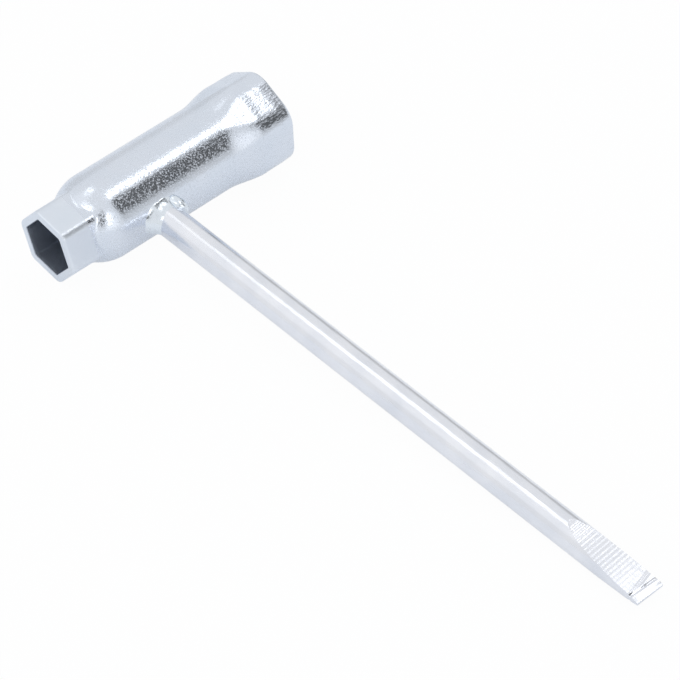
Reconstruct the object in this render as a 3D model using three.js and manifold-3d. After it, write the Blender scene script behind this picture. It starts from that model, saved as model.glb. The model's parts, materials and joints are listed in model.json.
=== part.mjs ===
// Combination wrench for a chainsaw, in millimetres with +Z up.
// A steel tube is pressed to a hexagon socket at each end, and a round bar welded square to it
// ends in a screwdriver blade. The tool lies on the plane Z = 0 as it lies on a bench.
import * as THREE from 'three';
import { mergeVertices } from 'three/addons/utils/BufferGeometryUtils.js';
import Module from 'manifold-3d';

const wasm = await Module();
wasm.setup();

// Tube, round in the middle and open from end to end
const tubeDiameter = 22.1;
const tubeWall = 2.1;
const rimBreak = 0.35;
const socketClearance = 0.15;
const socketCornerRadius = 0.6;

// Small socket, pressed down from the tube
const smallNutFlats = 13;
const smallWall = 2;
const smallCornerRadius = 2.5;
const smallReach = 26.9;
const smallHexLength = 7.6;
const smallShoulderLength = 6.9;
const smallTurn = 8.4;

// Large socket, pressed out from the tube
const largeNutFlats = 19;
const largeWall = 2.25;
const largeCornerRadius = 6.5;
const largeReach = 40.6;
const largeHexLength = 8.8;
const largeFlareLength = 9.8;
const largeTurn = 25.9;

// Bar and its blade
const barDiameter = 7.8;
const barReach = 167;
const bladeLength = 25.5;
const bladeTipThickness = 1.7;
const bladeHollow = 0.4;
const bladeBevelLength = 1.7;
const bladeEdgeThickness = 0.9;

// Weld at the bar's root: a bead each side, with a thin slit where the pieces meet.
// A bead faces its own side and a little upwards, counted in degrees from the large socket.
const weldGap = 0.3;
const weldSweep = 92;
const weldRipples = 9;
const weldEndShare = 0.6;
const smallBeadFacing = 162;
const smallBeadTubeLeg = 2;
const smallBeadBarLeg = 2.8;
const largeBeadFacing = 18;
const largeBeadTubeLeg = 1.8;
const largeBeadBarLeg = 2.4;

// Fineness of the round shapes
const pointsPerCorner = 10;
const shoulderSteps = 6;
const middleSteps = 4;
const barSides = 40;
const tubeSides = 60;
const rippleSides = 14;

const zincPlate = { color: 0xccd4dc, roughness: 0.3, metalness: 1, flatShading: true };
const weldPlate = { color: 0xbcc6d0, roughness: 0.4, metalness: 1, flatShading: true };

// How far a cutting shape runs past what it cuts, and how near two points are one point
const overcut = 1;
const samePoint = 1e-4;

// A section across the tube: a hexagon whose corners stand off from the axis by `corner`,
// swollen by `radius`, so that a round section is one whose corners lie on the axis.
function hexSection(x, acrossFlats, cornerRadius, turn) {
  const corner = (acrossFlats / 2 - cornerRadius) / Math.cos(Math.PI / 6);
  return { x, corner, radius: cornerRadius, turn };
}

function roundSection(x, diameter, turn) {
  return { x, corner: 0, radius: diameter / 2, turn };
}

// Sections from one to the next, easing the shape at both ends of the run
function between(first, last, steps) {
  const run = [];
  for (let step = 1; step < steps; step += 1) {
    const along = step / steps;
    const eased = THREE.MathUtils.smoothstep(along, 0, 1);
    run.push({
      x: THREE.MathUtils.lerp(first.x, last.x, along),
      corner: THREE.MathUtils.lerp(first.corner, last.corner, eased),
      radius: THREE.MathUtils.lerp(first.radius, last.radius, eased),
      turn: THREE.MathUtils.lerp(first.turn, last.turn, along),
    });
  }
  return run;
}

// The point of a section at one of its columns, counted round the tube from the first corner
function sectionPoint(section, column) {
  const sixth = Math.PI / 3;
  const cornerIndex = Math.floor(column / pointsPerCorner);
  const share = (column % pointsPerCorner + 0.5) / pointsPerCorner;
  const cornerAngle = THREE.MathUtils.degToRad(section.turn) + cornerIndex * sixth;
  const faceAngle = cornerAngle + (share - 0.5) * sixth;
  return new THREE.Vector3(
    section.x,
    section.corner * Math.cos(cornerAngle) + section.radius * Math.cos(faceAngle),
    section.corner * Math.sin(cornerAngle) + section.radius * Math.sin(faceAngle),
  );
}

// One surface of the tube from the small rim to the large one. `edge` widens the flats at the
// rims, or narrows them where it is negative, over a length of rimBreak.
function tubeSurface(diameter, small, large, edge) {
  const smallRim = -smallReach;
  const shoulderEnd = smallRim + smallHexLength + smallShoulderLength;
  const smallHexEnd = smallRim + smallHexLength;
  const largeHexStart = largeReach - largeHexLength;
  const flareStart = largeHexStart - largeFlareLength;
  const smallHex = hexSection(smallHexEnd, small.flats, small.cornerRadius, smallTurn);
  const smallRound = roundSection(shoulderEnd, diameter, smallTurn);
  const largeRound = roundSection(flareStart, diameter, largeTurn);
  const largeHex = hexSection(largeHexStart, large.flats, large.cornerRadius, largeTurn);
  return [
    hexSection(smallRim, small.flats + 2 * edge, small.cornerRadius, smallTurn),
    hexSection(smallRim + rimBreak, small.flats, small.cornerRadius, smallTurn),
    smallHex,
    ...between(smallHex, smallRound, shoulderSteps),
    smallRound,
    ...between(smallRound, largeRound, middleSteps),
    largeRound,
    ...between(largeRound, largeHex, shoulderSteps),
    largeHex,
    hexSection(largeReach - rimBreak, large.flats, large.cornerRadius, largeTurn),
    hexSection(largeReach, large.flats + 2 * edge, large.cornerRadius, largeTurn),
  ];
}

const smallSocketFlats = smallNutFlats + socketClearance;
const largeSocketFlats = largeNutFlats + socketClearance;
const outside = tubeSurface(
  tubeDiameter,
  { flats: smallSocketFlats + 2 * smallWall, cornerRadius: smallCornerRadius },
  { flats: largeSocketFlats + 2 * largeWall, cornerRadius: largeCornerRadius },
  -rimBreak,
);
const bore = tubeSurface(
  tubeDiameter - 2 * tubeWall,
  { flats: smallSocketFlats, cornerRadius: socketCornerRadius },
  { flats: largeSocketFlats, cornerRadius: socketCornerRadius },
  rimBreak,
);

// The tube's wall is turned from a closed run of sections, along the outside and back through
// the bore, and each point is then pressed to its section.
function socketTubeGeometry() {
  const sections = [...outside, ...bore.toReversed(), outside[0]];
  const profile = sections.map((section) => new THREE.Vector2(section.corner + section.radius, section.x));
  const columns = 6 * pointsPerCorner;
  const geometry = new THREE.LatheGeometry(profile, columns);
  const position = geometry.getAttribute('position');
  for (let index = 0; index < position.count; index += 1) {
    const section = sections[index % sections.length];
    const column = Math.floor(index / sections.length) % columns;
    const point = sectionPoint(section, column);
    position.setXYZ(index, point.x, point.y, point.z);
  }
  return geometry;
}

// A closed geometry with its shared points merged, as a solid that can be cut and joined
function solid(geometry) {
  geometry.deleteAttribute('normal');
  geometry.deleteAttribute('uv');
  const merged = mergeVertices(geometry, samePoint);
  const corners = merged.index.array;
  const triangles = [];
  for (let index = 0; index < corners.length; index += 3) {
    const [a, b, c] = corners.slice(index, index + 3);
    if (a !== b && b !== c && c !== a) {
      triangles.push(a, b, c);
    }
  }
  return new wasm.Manifold(new wasm.Mesh({
    numProp: 3,
    vertProperties: new Float32Array(merged.getAttribute('position').array),
    triVerts: new Uint32Array(triangles),
  }));
}

function namedMesh(name, body, finish) {
  const { vertProperties, triVerts } = body.getMesh();
  const geometry = new THREE.BufferGeometry();
  geometry.setAttribute('position', new THREE.BufferAttribute(vertProperties, 3));
  geometry.setIndex(new THREE.BufferAttribute(triVerts, 1));
  const mesh = new THREE.Mesh(geometry, new THREE.MeshStandardMaterial(finish));
  mesh.name = name;
  return mesh;
}

// The round of the tube's middle, wider by a gap, along X
function tubeRound(gap) {
  const length = smallReach + largeReach;
  const radius = tubeDiameter / 2 + gap;
  const geometry = new THREE.CylinderGeometry(radius, radius, length, tubeSides);
  geometry.rotateZ(Math.PI / 2);
  return solid(geometry);
}

// The bar's round, wider by a gap, from the tube's axis along -Y
function barRound(gap) {
  const radius = barDiameter / 2 + gap;
  const geometry = new THREE.CylinderGeometry(radius, radius, barReach, barSides);
  geometry.translate(0, -barReach / 2, 0);
  return solid(geometry);
}

// The bar's outline from the side: full height as far as the blade, whose hollow faces fall to
// the tip and end in a short bevel on each side.
function barSideView() {
  const full = barDiameter / 2 + overcut;
  const bladeStart = barReach - bladeLength;
  const bevelStart = barReach - bladeBevelLength;
  const tip = bladeTipThickness / 2;
  const edge = bladeEdgeThickness / 2;
  const middle = (bladeStart + bevelStart) / 2;
  const middleHeight = (barDiameter / 2 + tip) / 2 - 2 * bladeHollow;
  const outline = new THREE.Shape();
  outline.moveTo(-overcut, -full);
  outline.lineTo(bladeStart, -full);
  outline.lineTo(bladeStart, -barDiameter / 2);
  outline.quadraticCurveTo(middle, -middleHeight, bevelStart, -tip);
  outline.lineTo(barReach, -edge);
  outline.lineTo(barReach, edge);
  outline.lineTo(bevelStart, tip);
  outline.quadraticCurveTo(middle, middleHeight, bladeStart, barDiameter / 2);
  outline.lineTo(bladeStart, full);
  outline.lineTo(-overcut, full);
  outline.closePath();
  const width = barDiameter + 2 * overcut;
  const geometry = new THREE.ExtrudeGeometry(outline, {
    depth: width, bevelEnabled: false, curveSegments: 8,
  });
  geometry.translate(0, 0, -width / 2);
  geometry.applyMatrix4(new THREE.Matrix4().makeBasis(
    new THREE.Vector3(0, -1, 0),
    new THREE.Vector3(0, 0, 1),
    new THREE.Vector3(-1, 0, 0),
  ));
  return solid(geometry);
}

// A bead is a row of ripples round the bar's root, fullest in the middle of its sweep
function weldBead(facing, tubeLeg, barLeg) {
  const tubeRadius = tubeDiameter / 2;
  const rootRadius = barDiameter / 2 + weldGap;
  let bead = null;
  for (let ripple = 0; ripple < weldRipples; ripple += 1) {
    const along = ripple / (weldRipples - 1) - 0.5;
    const angle = THREE.MathUtils.degToRad(facing + along * weldSweep);
    const fullness = THREE.MathUtils.lerp(weldEndShare, 1, Math.cos(along * Math.PI));
    const height = rootRadius * Math.sin(angle);
    const onTube = -Math.sqrt(tubeRadius ** 2 - height ** 2) - weldGap;
    const geometry = new THREE.SphereGeometry(fullness, rippleSides, rippleSides / 2);
    geometry.scale(tubeLeg, barLeg, tubeLeg);
    geometry.translate(rootRadius * Math.cos(angle), onTube, height);
    const lump = solid(geometry);
    bead = bead ? bead.add(lump) : lump;
  }
  return bead.subtract(tubeRound(weldGap)).subtract(barRound(weldGap));
}

// Three points carry the tool: the lowest edges of the tube on both sides of the bar, and the
// bar's underside at the blade or, if that hangs lower, the blade's edge.
function supports() {
  const columns = [...Array(6 * pointsPerCorner).keys()];
  const feet = outside.map((section) => columns
    .map((column) => sectionPoint(section, column))
    .reduce((low, point) => (point.z < low.z ? point : low)));
  const heightAtBar = (a, b) => a.z - a.x * (b.z - a.z) / (b.x - a.x);
  let best = null;
  for (const left of feet.filter((foot) => foot.x < 0)) {
    for (const right of feet.filter((foot) => foot.x > 0)) {
      const height = heightAtBar(left, right);
      if (!best || height < best.height) {
        best = { left, right, height };
      }
    }
  }
  const underBar = [
    new THREE.Vector3(0, bladeLength - barReach, -barDiameter / 2),
    new THREE.Vector3(0, -barReach, -bladeEdgeThickness / 2),
  ];
  const rise = (point) => (point.z - best.height) / -point.y;
  const front = underBar.reduce((low, point) => (rise(point) < rise(low) ? point : low));
  return [best.left, best.right, front];
}

const bar = barRound(0).intersect(barSideView()).subtract(tubeRound(weldGap));
const smallSideBead = weldBead(smallBeadFacing, smallBeadTubeLeg, smallBeadBarLeg);
const largeSideBead = weldBead(largeBeadFacing, largeBeadTubeLeg, largeBeadBarLeg);

const tool = new THREE.Group();
tool.name = 'combination_wrench';
tool.add(
  namedMesh('socket_tube', solid(socketTubeGeometry()), zincPlate),
  namedMesh('screwdriver_bar', bar, zincPlate),
  namedMesh('weld_bead_small_side', smallSideBead, weldPlate),
  namedMesh('weld_bead_large_side', largeSideBead, weldPlate),
);

// Tip the tool on to its three supports, and centre it over the origin
const bench = new THREE.Plane().setFromCoplanarPoints(...supports());
const up = bench.normal.z < 0 ? bench.normal.clone().negate() : bench.normal;
tool.quaternion.setFromUnitVectors(up, new THREE.Vector3(0, 0, 1));
const extent = new THREE.Box3().setFromObject(tool, true);
const centre = extent.getCenter(new THREE.Vector3());
tool.position.set(-centre.x, -centre.y, -extent.min.z);

export default tool;
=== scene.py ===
# Combination wrench for a chainsaw: a plated steel tube with a hexagon socket at each end, and a
# round bar welded across it that ends in a screwdriver blade. Sizes are in millimetres, and the
# studio's own distances in metres.
import json
import math

import bmesh
import bpy
from mathutils import Matrix, Quaternion, Vector, noise


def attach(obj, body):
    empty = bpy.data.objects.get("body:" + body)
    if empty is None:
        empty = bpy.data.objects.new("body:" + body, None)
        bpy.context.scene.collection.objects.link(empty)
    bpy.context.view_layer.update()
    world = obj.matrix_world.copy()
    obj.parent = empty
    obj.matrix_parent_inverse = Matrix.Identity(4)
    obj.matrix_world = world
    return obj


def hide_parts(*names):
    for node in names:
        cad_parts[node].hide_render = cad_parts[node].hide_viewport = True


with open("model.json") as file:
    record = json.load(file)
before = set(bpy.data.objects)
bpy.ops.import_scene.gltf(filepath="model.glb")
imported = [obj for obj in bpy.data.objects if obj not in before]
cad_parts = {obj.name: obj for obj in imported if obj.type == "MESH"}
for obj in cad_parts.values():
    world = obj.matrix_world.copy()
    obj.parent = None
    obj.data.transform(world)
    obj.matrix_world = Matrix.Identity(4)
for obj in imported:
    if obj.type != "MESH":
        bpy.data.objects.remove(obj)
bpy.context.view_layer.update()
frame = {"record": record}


# How the tool lies: on a bench it rests on the tube's shoulder, the large socket and the bar, so it
# is tipped by a few degrees. The record's mounts give the tube's direction, the bar's and the blade's
# end. Each piece is made with the tube along X and the bar along -Y, and is then laid down like that.
metre = 1000
bar_reach = 167
mounts = {mount["name"]: mount for mount in frame["record"]["mounts"]}
along_bar = Vector(mounts["blade_end"]["axis"]).normalized()
across_both = Vector(mounts["large_socket_rim"]["axis"]).cross(-along_bar).normalized()
along_tube = (-along_bar).cross(across_both)
tipped = Matrix((along_tube, -along_bar, across_both)).transposed()
crossing = Vector(mounts["blade_end"]["pos_m"]) - along_bar * bar_reach / metre
laid_down = Matrix.Translation(crossing) @ tipped.to_4x4() @ Matrix.Scale(1 / metre, 4)


# Socket tube: drawn steel tube, with one end pressed down to a 13 mm hexagon and the other pressed
# out to a 19 mm one, then zinc plated. It starts as a straight tube with rounded rims, and each of
# its points is then pressed to the section that the tube has at that place.
tube_radius, bore_radius = 11.03, 8.95
small_rim, small_hexagon_end, shoulder_end = -26.9, -19.3, -10.8
flare_start, large_hexagon_start, large_rim = 22.0, 31.8, 40.6
small_flats, small_corner, small_turn = 17.15, 2.2, math.radians(8.4)
large_flats, large_corner, large_turn = 23.6, 6.5, math.radians(25.9)
small_hole, large_hole, hole_corner = 13.15, 19.15, 0.6
shoulder_round, shoulder_slope, crease_round = 12, math.radians(32), 0.4
ridge_half_width, ridge_height = 2.2, 0.05
roll_start, rolled_in = 37.2, 0.14
rim_round, mouth_round = 0.55, 0.3
hair = 0.01


def corner_stand(across_flats, corner_radius):
    """How far the middle of a rounded corner stands from the hexagon's middle."""
    return (across_flats / 2 - corner_radius) / math.cos(math.pi / 6)


def hexagon_reach(angle, turn, corner, radius):
    """How far a hexagon with rounded corners reaches from its middle in one direction."""
    from_corner = abs((angle - turn + math.pi / 6) % (math.pi / 3) - math.pi / 6)
    bend_end = math.atan2(radius / 2, corner + radius * math.cos(math.pi / 6))
    if from_corner < bend_end:
        sideways = corner * math.sin(from_corner)
        return corner * math.cos(from_corner) + math.sqrt(radius ** 2 - sideways ** 2)
    return (corner * math.cos(math.pi / 6) + radius) / math.cos(math.pi / 6 - from_corner)


def eased(start, end, place):
    """0 before start and 1 after end, with a smooth rise between them."""
    share = min(1, max(0, (place - start) / (end - start)))
    return share * share * (3 - 2 * share)


def shoulder_reach(x):
    """The round shoulder between the tube and the small hexagon: a bend, then a straight cone."""
    run = max(0, shoulder_end - x)
    bent = min(run, shoulder_round * math.sin(shoulder_slope))
    drop = shoulder_round - math.sqrt(shoulder_round ** 2 - bent ** 2)
    return tube_radius - drop - (run - bent) * math.tan(shoulder_slope)


def outside_reach(x, angle, cut):
    """The tube's outside, cut back by a little where a rim is rounded."""
    if x < shoulder_end:
        corner = corner_stand(small_flats, small_corner)
        hexagon = hexagon_reach(angle, small_turn, corner, small_corner - cut)
        shoulder = shoulder_reach(x) - cut
        nearness = max(0, 1 - abs(hexagon - shoulder) / crease_round)
        return max(hexagon, shoulder) + nearness ** 2 * crease_round / 4
    share = eased(flare_start, large_hexagon_start, x)
    corner = corner_stand(large_flats, large_corner) * share
    radius = tube_radius + (large_corner - tube_radius) * share - cut
    nearness = max(0, 1 - ((x - large_hexagon_start) / ridge_half_width) ** 2)
    ridge = ridge_height * (nearness ** 2 - share)
    rolled = rolled_in * eased(roll_start, large_rim, x)
    return hexagon_reach(angle, large_turn, corner, radius) + ridge - rolled


def bore_reach(x, angle, cut):
    """The tube's inside, cut back by a little where a mouth is rounded."""
    if x < 0:
        share, turn, flats = eased(-shoulder_end, -small_hexagon_end, -x), small_turn, small_hole
    else:
        share, turn, flats = eased(flare_start, large_hexagon_start, x), large_turn, large_hole
    radius = bore_radius + (hole_corner - bore_radius) * share + cut
    return hexagon_reach(angle, turn, corner_stand(flats, hole_corner) * share, radius)


# Stations divide the tube's length for its rings, which stand closest where the section changes.
stations = [small_rim, -20.4, -10.4, 21.4, 32.6, large_rim]
outside_steps, bore_steps = [12, 64, 24, 44, 14], [6, 20, 8, 20, 6]
tube_mesh = bmesh.new()
wall_corners = [tube_mesh.verts.new((x, tube_radius, 0)) for x in stations]
wall_corners += [tube_mesh.verts.new((x, bore_radius, 0)) for x in reversed(stations)]
tube_mesh.faces.new(wall_corners)
outer_rims = [wall_corners[0], wall_corners[5]]
mouths = [wall_corners[6], wall_corners[11]]
for corners, rounding in [(outer_rims, rim_round), (mouths, mouth_round)]:
    bmesh.ops.bevel(tube_mesh, geom=corners, offset=rounding, affect="VERTICES", segments=5,
                    profile=0.5, material=-1)
for radius, steps in [(tube_radius, outside_steps), (bore_radius, bore_steps)]:
    for start, end, count in zip(stations, stations[1:], steps):
        span = [edge for edge in tube_mesh.edges
                if all(abs(v.co.y - radius) < hair for v in edge.verts)
                and start < (edge.verts[0].co.x + edge.verts[1].co.x) / 2 < end]
        bmesh.ops.subdivide_edges(tube_mesh, edges=span, cuts=count - 1)
for rim in (small_rim, large_rim):
    rim_flat = [edge for edge in tube_mesh.edges
                if all(abs(v.co.x - rim) < hair for v in edge.verts)
                and edge.calc_length() > rim_round]
    bmesh.ops.subdivide_edges(tube_mesh, edges=rim_flat, cuts=6)
bmesh.ops.delete(tube_mesh, geom=tube_mesh.faces[:], context="FACES_ONLY")
bmesh.ops.spin(tube_mesh, geom=tube_mesh.verts[:] + tube_mesh.edges[:], cent=(0, 0, 0),
               axis=(1, 0, 0), angle=2 * math.pi, steps=240, use_merge=True)
bore_finish, large_end_finish, small_end_finish = 1, 2, 3
for face in tube_mesh.faces:
    middle = face.calc_center_median()
    if math.hypot(middle.y, middle.z) < bore_radius + mouth_round / 3:
        face.material_index = bore_finish
    elif middle.x > large_hexagon_start:
        face.material_index = large_end_finish
    elif middle.x < small_hexagon_end:
        face.material_index = small_end_finish
for point in tube_mesh.verts:
    x, y, z = point.co
    angle, straight = math.atan2(z, y), math.hypot(y, z)
    if straight > (tube_radius + bore_radius) / 2:
        pressed = outside_reach(x, angle, tube_radius - straight)
    else:
        pressed = bore_reach(x, angle, straight - bore_radius)
    point.co = (x, pressed * math.cos(angle), pressed * math.sin(angle))


def linear(colour):
    """An sRGB hex colour as the linear one that a shader takes."""
    shares = [int(colour[place:place + 2], 16) / 255 for place in (1, 3, 5)]
    return [s / 12.92 if s <= 0.04045 else ((s + 0.055) / 1.055) ** 2.4 for s in shares] + [1]


def put(tree, kind, inputs={}, **settings):
    """A node with its settings. Each input is a plain value or the socket that feeds it."""
    made = tree.nodes.new(kind)
    for name, value in settings.items():
        setattr(made, name, value)
    for name, value in inputs.items():
        if isinstance(value, bpy.types.NodeSocket):
            tree.links.new(value, made.inputs[name])
        else:
            made.inputs[name].default_value = value
    return made


def zinc_plate(name, pale, cool, shiny, dull, grain, grain_depth, wave, wave_depth, stretch):
    """Zinc plating: pale blue-white metal that mirrors, with fine dull crystals in between. Those
    catch light from all round, so that a dark reflection glitters. Real crystals are too fine to
    show, so `grain` draws them coarser, at about half a millimetre. `wave` is the steel's own
    unevenness, and `stretch` draws both out along the tube or the bar."""
    cloud = 9
    mirror_below, crystal_above = 0.46, 0.68
    finish = bpy.data.materials.new(name)
    finish.use_nodes = True
    tree = finish.node_tree
    tree.nodes.clear()
    place = put(tree, "ShaderNodeTexCoord").outputs["Object"]
    drawn = put(tree, "ShaderNodeMapping", {"Vector": place, "Rotation": tipped.to_euler(),
                                            "Scale": stretch}, vector_type="TEXTURE").outputs[0]
    clouds = put(tree, "ShaderNodeTexNoise", {"Vector": place, "Scale": metre / cloud, "Detail": 4})
    waves = put(tree, "ShaderNodeTexNoise", {"Vector": drawn, "Scale": metre / wave, "Detail": 2})
    grains = put(tree, "ShaderNodeTexNoise", {"Vector": drawn, "Scale": metre / grain, "Detail": 2,
                                              "Roughness": 0.6})
    tint = put(tree, "ShaderNodeMix", {0: clouds.outputs[0], 6: linear(pale), 7: linear(cool)},
               data_type="RGBA")
    sheen = put(tree, "ShaderNodeMapRange", {
        "Value": grains.outputs[0], "From Min": mirror_below, "From Max": crystal_above,
        "To Min": shiny, "To Max": dull})
    uneven = put(tree, "ShaderNodeBump", {"Height": waves.outputs[0], "Strength": 1,
                                          "Distance": wave_depth / metre})
    grainy = put(tree, "ShaderNodeBump", {"Height": grains.outputs[0], "Strength": 1,
                                          "Distance": grain_depth / metre,
                                          "Normal": uneven.outputs[0]})
    metal = put(tree, "ShaderNodeBsdfPrincipled", {
        "Base Color": tint.outputs[2], "Metallic": 1, "Roughness": sheen.outputs[0],
        "Normal": grainy.outputs[0]})
    put(tree, "ShaderNodeOutputMaterial", {"Surface": metal.outputs[0]})
    return finish


# On the tube's round middle the plating is a clear mirror full of sparkling crystals, so its light
# and dark bands stand apart and the dark ones look speckled.
tube_zinc = zinc_plate("bright_zinc_on_drawn_tube", "#e2e7f0", "#d8e1ed", shiny=0.08, dull=0.54,
                       grain=0.42, grain_depth=0.03, wave=4, wave_depth=0.03, stretch=(1, 1, 1))
# Little zinc reaches the bore, which is a dull grey that soon turns dark.
bore_steel = zinc_plate("dull_zinc_in_the_bore", "#c0c6d0", "#b0b8c4", shiny=0.4, dull=0.5,
                        grain=0.6, grain_depth=0.02, wave=3, wave_depth=0.03, stretch=(1, 1, 1))
# The die dragged the large end's skin along the tube, so its mirror breaks up into short streaks.
die_zinc = zinc_plate("bright_zinc_on_die_pressed_end", "#e2e7f0", "#d8e1ed", shiny=0.08, dull=0.4,
                      grain=0.5, grain_depth=0.06, wave=4, wave_depth=0.03, stretch=(3, 1, 1))
# The press left the small end satin, so its flats are pale and even and mirror nothing clearly.
satin_zinc = zinc_plate("satin_zinc_on_pressed_small_end", "#e5eaf2", "#dbe4ef", shiny=0.34,
                        dull=0.44, grain=0.5, grain_depth=0.01, wave=4, wave_depth=0.03,
                        stretch=(1, 1, 1))


def laid_piece(name, mesh, *finishes, crisp_over):
    """A finished piece from its mesh, laid down as the tool lies. Edges that turn by more than
    `crisp_over` degrees stay crisp."""
    same_point = 0.0005
    bmesh.ops.remove_doubles(mesh, verts=mesh.verts, dist=same_point)
    bmesh.ops.recalc_face_normals(mesh, faces=mesh.faces)
    for face in mesh.faces:
        face.smooth = True
    for edge in mesh.edges:
        edge.smooth = edge.calc_face_angle(0) < math.radians(crisp_over)
    bmesh.ops.transform(mesh, matrix=laid_down, verts=mesh.verts)
    data = bpy.data.meshes.new(name)
    mesh.to_mesh(data)
    mesh.free()
    for finish in finishes:
        data.materials.append(finish)
    piece = bpy.data.objects.new(name, data)
    bpy.context.scene.collection.objects.link(piece)
    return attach(piece, "root")


socket_tube = laid_piece("socket_tube_plated", tube_mesh, tube_zinc, bore_steel, die_zinc,
                         satin_zinc, crisp_over=50)
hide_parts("socket_tube")


# Screwdriver bar: round drawn steel, welded end-on to the tube, with its free end cut to a wedge.
# The cutter left cross ribs on the wedge's two faces and two grooves near its end, where a short
# bevel makes the edge. It starts as a round bar, and the blade's points are moved to the wedge.
bar_radius, bar_root = 3.895, -9.6
run_up, bevel_start, bar_end = -118, -165.4, -167
blade_start = {"top": -143, "underside": -141.5}
blade_belly, tip_half, edge_half = 1.575, 0.85, 0.38
slant_start, bevel_slant = -161, 0.09
nose_angle, quarter = math.radians(4), math.radians(45)
# The ribs rise just after the blade's start, and each fade then takes a share of their depth away.
rib_pitch, rib_depth, rib_slant = 1.05, 0.03, 0.05
rib_rise, rib_fades = (0.3, 1.5), [(4, 9, 0.6), (9, 20, 0.75)]
# Each groove has its distance from the bevel, its slant, half its width and its depth.
grooves = [(0.45, 0.04, 0.5, 0.21), (1.5, 0.28, 0.6, 0.13)]


def face_height(y, start):
    """Half the blade's thickness at y: a hollow-ground run from its start, then the bevel."""
    if y > bevel_start:
        share = (start - y) / (start - bevel_start)
        return ((1 - share) ** 2 * bar_radius + 2 * share * (1 - share) * blade_belly
                + share ** 2 * tip_half)
    share = (bevel_start - y) / (bevel_start - bar_end)
    return tip_half + (edge_half - tip_half) * share


def cutter_mark(x, y, start):
    """How deep the cross ribs and the grooves before the bevel lie at a point of the blade."""
    along = start - y
    strength = eased(*rib_rise, along)
    for fade_start, fade_end, loss in rib_fades:
        strength *= 1 - loss * eased(fade_start, fade_end, along)
    ripple = 0.5 - 0.5 * math.cos(2 * math.pi * (along + rib_slant * x) / rib_pitch)
    depth = rib_depth * strength * ripple
    for back, skew, half, deep in grooves:
        depth += deep * max(0, 1 - abs(y - bevel_start - back - skew * x) / half)
    return depth


def grown_ring(mesh, edges):
    """The ring of edges that an open ring grows by one extrusion, and that ring's points."""
    grown = bmesh.ops.extrude_edge_only(mesh, edges=edges)["geom"]
    points = {part for part in grown if isinstance(part, bmesh.types.BMVert)}
    ring = [part for part in grown
            if isinstance(part, bmesh.types.BMEdge) and points.issuperset(part.verts)]
    return ring, list(points)


bar_mesh = bmesh.new()
ring_points = bmesh.ops.create_circle(bar_mesh, segments=96, radius=bar_radius)["verts"]
bmesh.ops.rotate(bar_mesh, verts=ring_points, matrix=Matrix.Rotation(math.pi / 2, 3, "X"))
bmesh.ops.translate(bar_mesh, verts=ring_points, vec=(0, bar_root, 0))
ring = bar_mesh.edges[:]
bmesh.ops.contextual_create(bar_mesh, geom=ring)
marks = [bar_root, run_up, blade_start["underside"], bevel_start, bar_end]
ring_counts = [34, 24, 200, 14]
for start, end, count in zip(marks, marks[1:], ring_counts):
    for step in range(count):
        ring, ring_points = grown_ring(bar_mesh, ring)
        bmesh.ops.translate(bar_mesh, verts=ring_points, vec=(0, (end - start) / count, 0))
bmesh.ops.contextual_create(bar_mesh, geom=ring)
for point in bar_mesh.verts:
    x, y, z = point.co
    from_top = math.atan2(x, abs(z))
    start = blade_start["top" if z > 0 else "underside"]
    on_blade = y < start - hair
    if on_blade:
        height = face_height(y, start)
        half = max(nose_angle, math.acos(min(1, height / bar_radius)))
        border = math.copysign(bar_radius * math.sin(half), x)
        half = max(half, math.acos(min(1, (height - cutter_mark(border, y, start)) / bar_radius)))
    else:
        half = quarter + (nose_angle - quarter) * eased(-run_up, -start, -y)
    if abs(from_top) <= quarter and on_blade and half > nose_angle:
        x = bar_radius * math.sin(half) * from_top / quarter
        up = height - cutter_mark(x, y, start)
    else:
        beyond = max(0, abs(from_top) - quarter) / quarter
        turned = half * min(1, abs(from_top) / quarter) + beyond * (math.pi / 2 - half)
        x, up = math.copysign(bar_radius * math.sin(turned), x), bar_radius * math.cos(turned)
    slanting = eased(-slant_start, -bevel_start, -y) * (1 - eased(-bevel_start, -bar_end, -y))
    point.co = (x, y - bevel_slant * slanting * x, math.copysign(up, z))

# Drawing left the bar smooth, with fine lines along it, so its highlight is one long soft stripe.
bar_zinc = zinc_plate("bright_zinc_on_drawn_bar", "#f6f7fb", "#d9dee8", shiny=0.15, dull=0.28,
                      grain=0.4, grain_depth=0.02, wave=2, wave_depth=0.008, stretch=(1, 12, 1))
screwdriver_bar = laid_piece("screwdriver_bar_plated", bar_mesh, bar_zinc, crisp_over=35)
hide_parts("screwdriver_bar")


# Weld beads: filler metal laid round the bar's root in two passes, one from each side, and plated
# with the rest. Each bead fills the corner between tube and bar, lumpy but washed out smooth at its
# toes, widest beside the bar and thinnest over its top.
bead_steps = 72
narrow_leg, bar_leg = 1.35, 3.1
thin_hollow, full_within = 0.85, 60
end_bluntness, least_swell = 6, 0.02
lump_height, lumps_round, lumps_over = 0.1, 3, 2
into_bar, into_tube = 0.1, 0.8
# Each pass has its start, its end and its widest place in degrees round the bar, and at that place
# the width of its leg on the tube and how hollow it is.
passes = [("small_side", 28, 250, 165, 2.5, 0.65), ("large_side", 70, -36, 40, 2.0, -0.5)]
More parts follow.
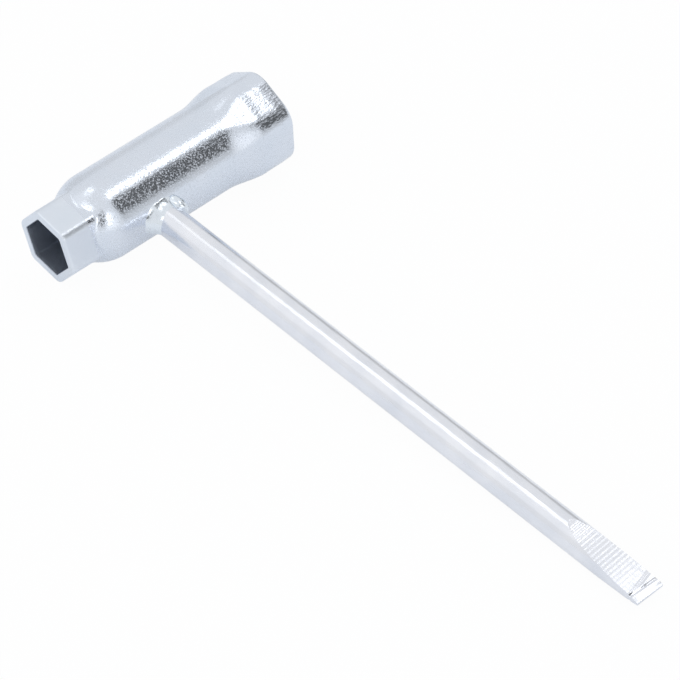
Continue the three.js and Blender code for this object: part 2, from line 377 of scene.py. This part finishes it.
# Weld metal sets in soft ripples, so the beads show small bright glints on a pale, smooth skin.
weld_zinc = zinc_plate("bright_zinc_on_weld_metal", "#e9eff6", "#dee7f0", shiny=0.16, dull=0.34,
                       grain=0.7, grain_depth=0.02, wave=1.8, wave_depth=0.03, stretch=(1, 1, 1))
for side, start, end, widest, wide_leg, full_hollow in passes:
    bead_mesh = bmesh.new()
    turn_of = bead_mesh.verts.layers.float.new("turn")
    ring_points = bmesh.ops.create_circle(bead_mesh, segments=32, radius=1)["verts"]
    for point in ring_points:
        point[turn_of] = math.atan2(point.co.y, point.co.x)
    ring = bead_mesh.edges[:]
    bmesh.ops.contextual_create(bead_mesh, geom=ring)
    for step in range(bead_steps + 1):
        if step:
            ring, ring_points = grown_ring(bead_mesh, ring)
        along = step / bead_steps
        heading = start + (end - start) * along
        angle = math.radians(heading)
        swell = max(least_swell, 1 - abs(2 * along - 1) ** end_bluntness)
        fullness = max(0, 1 - (abs(heading - widest) / full_within) ** 2)
        leg = narrow_leg + (wide_leg - narrow_leg) * fullness
        hollow = thin_hollow + (full_hollow - thin_hollow) * fullness
        for point in ring_points:
            turn = point[turn_of]
            spot = (lumps_round * math.cos(angle), lumps_round * math.sin(angle), lumps_over * turn)
            lump = 1 + lump_height * noise.noise(Vector(spot))
            out, up = math.cos(turn), math.sin(turn)
            if out > 0 and up > 0:
                out, up = out + hollow * (1 - up - out), up + hollow * (1 - up - out)
            reach = bar_radius - into_bar + out * leg * swell * lump
            x, z = reach * math.cos(angle), reach * math.sin(angle)
            depth = bar_leg * swell * lump if up > 0 else into_tube
            point.co = (x, -math.sqrt(tube_radius ** 2 - z ** 2) - up * depth, z)
    bmesh.ops.contextual_create(bead_mesh, geom=ring)
    bead = laid_piece(f"weld_bead_{side}_plated", bead_mesh, weld_zinc, crisp_over=60)
    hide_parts(f"weld_bead_{side}")


# Floor and backdrop: a sheet of matt white paper that runs on past the picture. The eye sees it plain
# white, with a small share of the paper's own matt skin, which keeps the tool's soft shadow. The metal
# mirrors a lesser share of the white, and hardly any from the floor behind the tool.
floor_reach = 4
white_to_eye = 0.96
white_to_metal, white_behind = 0.38, 0.05
fall_start, fall_end = 80, 200
floor_mesh = bmesh.new()
bmesh.ops.create_grid(floor_mesh, x_segments=1, y_segments=1, size=floor_reach)
floor_data = bpy.data.meshes.new("paper_floor")
floor_mesh.to_mesh(floor_data)
floor_mesh.free()
paper = bpy.data.materials.new("matt_white_paper")
paper.use_nodes = True
tree = paper.node_tree
tree.nodes.clear()
ray = put(tree, "ShaderNodeLightPath")
mirrored = put(tree, "ShaderNodeMath", {0: ray.outputs["Is Glossy Ray"],
                                        1: ray.outputs["Is Transmission Ray"]}, operation="MAXIMUM")
place = put(tree, "ShaderNodeSeparateXYZ", {0: put(tree, "ShaderNodeTexCoord").outputs["Object"]})
falling = put(tree, "ShaderNodeMapRange", {
    "Value": place.outputs["Y"], "From Min": fall_start / metre, "From Max": fall_end / metre,
    "To Min": white_to_metal, "To Max": white_behind})
to_metal = put(tree, "ShaderNodeMath", {0: mirrored.outputs[0], 1: falling.outputs[0]},
               operation="MULTIPLY")
to_eye = put(tree, "ShaderNodeMath", {0: ray.outputs["Is Camera Ray"], 1: white_to_eye},
             operation="MULTIPLY")
white_share = put(tree, "ShaderNodeMath", {0: to_eye.outputs[0], 1: to_metal.outputs[0]},
                  operation="MAXIMUM")
matt = put(tree, "ShaderNodeBsdfDiffuse", {"Color": linear("#f3f6fa")})
plain = put(tree, "ShaderNodeEmission", {"Color": linear("#ffffff"), "Strength": 1})
both = put(tree, "ShaderNodeMixShader", {0: white_share.outputs[0], 1: matt.outputs[0],
                                         2: plain.outputs[0]})
put(tree, "ShaderNodeOutputMaterial", {"Surface": both.outputs[0]})
floor_data.materials.append(paper)
floor = bpy.data.objects.new("paper_floor", floor_data)
bpy.context.scene.collection.objects.link(floor)


# Studio light: a tent of white cloth all round. Gaps in the cloth on the right and in front leave
# darker patches, and the tube mirrors the largest as its speckled dark band. Soft boxes shine in from
# above and from the sides, and a small one hangs close by on the right, where the blade mirrors it.
def direction(heading, rise):
    """A direction from its heading, counted from +Y towards +X, and its rise, in degrees."""
    heading, rise = math.radians(heading), math.radians(rise)
    level = math.cos(rise)
    return Vector((math.sin(heading) * level, math.cos(heading) * level, math.sin(rise)))


# Each patch has its heading and rise, half its width and height in degrees, and the colour there.
patches = [
    (190, 10, 24, 50, "#ffffff"), (-50, 46, 22, 26, "#f1f1f1"), (12, 8, 24, 26, "#d6d6d6"),
    (150, 18, 13, 22, "#cccccc"), (145, 36, 14, 28, "#5e5e5e"), (116, 47, 14, 9, "#808080"),
    (207, 30, 6, 26, "#585858"), (60, 6, 24, 18, "#bcbcbc"), (85, 24, 12, 10, "#606060")]
soft_border, cloth_glow = 0.35, 1.12
world = bpy.data.worlds.new("white_tent")
bpy.context.scene.world = world
world.use_nodes = True
tree = world.node_tree
tree.nodes.clear()
ray = put(tree, "ShaderNodeLightPath")
towards = put(tree, "ShaderNodeTexCoord").outputs["Generated"]
cloth = linear("#e6e6e6")
for heading, rise, half_width, half_height, colour in patches:
    inside = put(tree, "ShaderNodeMapping", {
        "Vector": towards, "Location": direction(heading, rise),
        "Rotation": (0, math.radians(-rise), math.radians(90 - heading)),
        "Scale": (1, math.sin(math.radians(half_width)), math.sin(math.radians(half_height)))},
        vector_type="TEXTURE")
    nearness = put(tree, "ShaderNodeTexGradient", {"Vector": inside.outputs[0]},
                   gradient_type="SPHERICAL")
    share = put(tree, "ShaderNodeMapRange", {"Value": nearness.outputs[1], "From Max": soft_border},
                interpolation_type="SMOOTHSTEP")
    cloth = put(tree, "ShaderNodeMix", {0: share.outputs[0], 6: cloth, 7: linear(colour)},
                data_type="RGBA").outputs[2]
shown = put(tree, "ShaderNodeMix", {0: ray.outputs["Is Camera Ray"], 6: cloth,
                                    7: linear("#ffffff")}, data_type="RGBA")
lit = put(tree, "ShaderNodeBackground", {"Color": shown.outputs[2], "Strength": cloth_glow})
put(tree, "ShaderNodeOutputWorld", {"Surface": lit.outputs[0]})

# Each soft box has its distance, its heading and rise, half its width and height in degrees, its roll
# and its brightness.
soft_boxes = [
    ("right_soft_box", 4, 120, 66.3, 8, 5, -12, 2),
    ("low_soft_box", 0.34, 83.5, 64, 4.8, 3.4, 0, 0.95),
    ("back_soft_box", 4, -10, 66, 9, 6.5, 0, 0.6),
    ("left_soft_box", 4, -93, 53, 13, 6, 0, 1.4),
    ("tall_soft_box", 4, 191, 26, 4, 14, 0, 1.15)]
for name, away, heading, rise, half_width, half_height, roll, brightness in soft_boxes:
    width, height = [2 * away * math.tan(math.radians(half)) for half in (half_width, half_height)]
    lamp = bpy.data.lights.new(name, "AREA")
    lamp.shape = "RECTANGLE"
    lamp.size, lamp.size_y = width, height
    lamp.energy = brightness * math.pi * width * height
    box = bpy.data.objects.new(name, lamp)
    box.location = direction(heading, rise) * away
    facing = (-direction(heading, rise)).to_track_quat("-Z", "Y")
    box.rotation_euler = (facing @ Quaternion((0, 0, 1), math.radians(roll))).to_euler()
    bpy.context.scene.collection.objects.link(box)


# Camera: a long lens from the front left and above, as the photograph was taken, with the whole
# tool in its frame and the lens's own axis through the middle of the picture.
aimed_at, stand_off = Vector((0.00188, 0.01606, 0)), 0.8049
view_line = direction(43.03, -42.61)
camera_roll = Quaternion((0, 0, 1), math.radians(-0.19))
lens = bpy.data.cameras.new("camera")
lens.sensor_width = 36
lens.lens = 185.3
camera = bpy.data.objects.new("camera", lens)
camera.location = aimed_at - view_line * stand_off
camera.rotation_euler = (view_line.to_track_quat("-Z", "Y") @ camera_roll).to_euler()
bpy.context.scene.collection.objects.link(camera)
bpy.context.scene.camera = camera
bpy.context.scene.view_settings.view_transform = "Standard"
